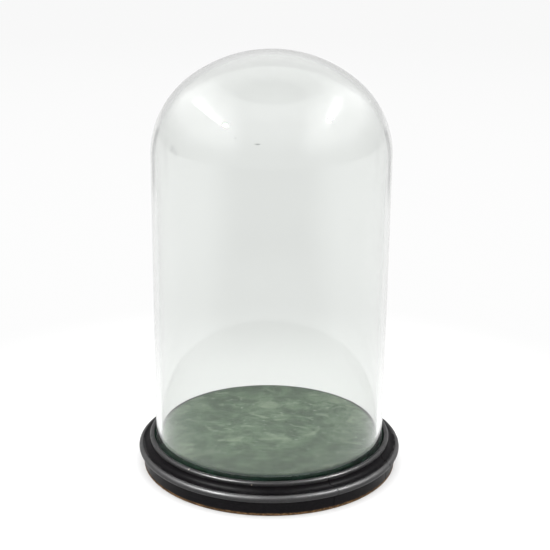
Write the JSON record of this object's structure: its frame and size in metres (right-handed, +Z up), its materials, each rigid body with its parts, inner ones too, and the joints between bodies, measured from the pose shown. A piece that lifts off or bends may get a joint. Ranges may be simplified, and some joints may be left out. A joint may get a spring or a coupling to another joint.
{
  "type": "bell jar dome",
  "caption": "Tall round glass display dome that lifts off a turned ebonised wooden stand with a raised, green cloth-covered floor.",
  "frame": {"origin": "on the stand's axis, at the surface the stand rests on", "axes": "+Z up along the dome's axis, -Y the front, towards the viewer"},
  "size_m": [0.2536, 0.2536, 0.396],
  "materials": {
    "glass": "clear, polished, slightly wavy",
    "ebonised_wood": "black-stained and french-polished, worn at the edges",
    "bare_wood": "planed, unfinished",
    "green_cloth": "short pile, brushed, slightly worn",
    "green_felt": "matt felt",
    "screw_steel": "dull, aged"
  },
  "bodies": {
    "stand": {"base_plank_front": "ebonised_wood", "base_plank_middle": "ebonised_wood", "base_plank_back": "ebonised_wood", "raised_floor": "bare_wood", "floor_cloth": "green_cloth", "groove_felt": "green_felt", "floor_screws": "screw_steel"},
    "dome": {"glass_dome": "glass"}
  },
  "joints": [
    {"name": "dome_lift", "type": "slide", "parent": "stand", "child": "dome", "axis": [0, 0, 1], "range_m": [0, 0.42]}
  ]
}
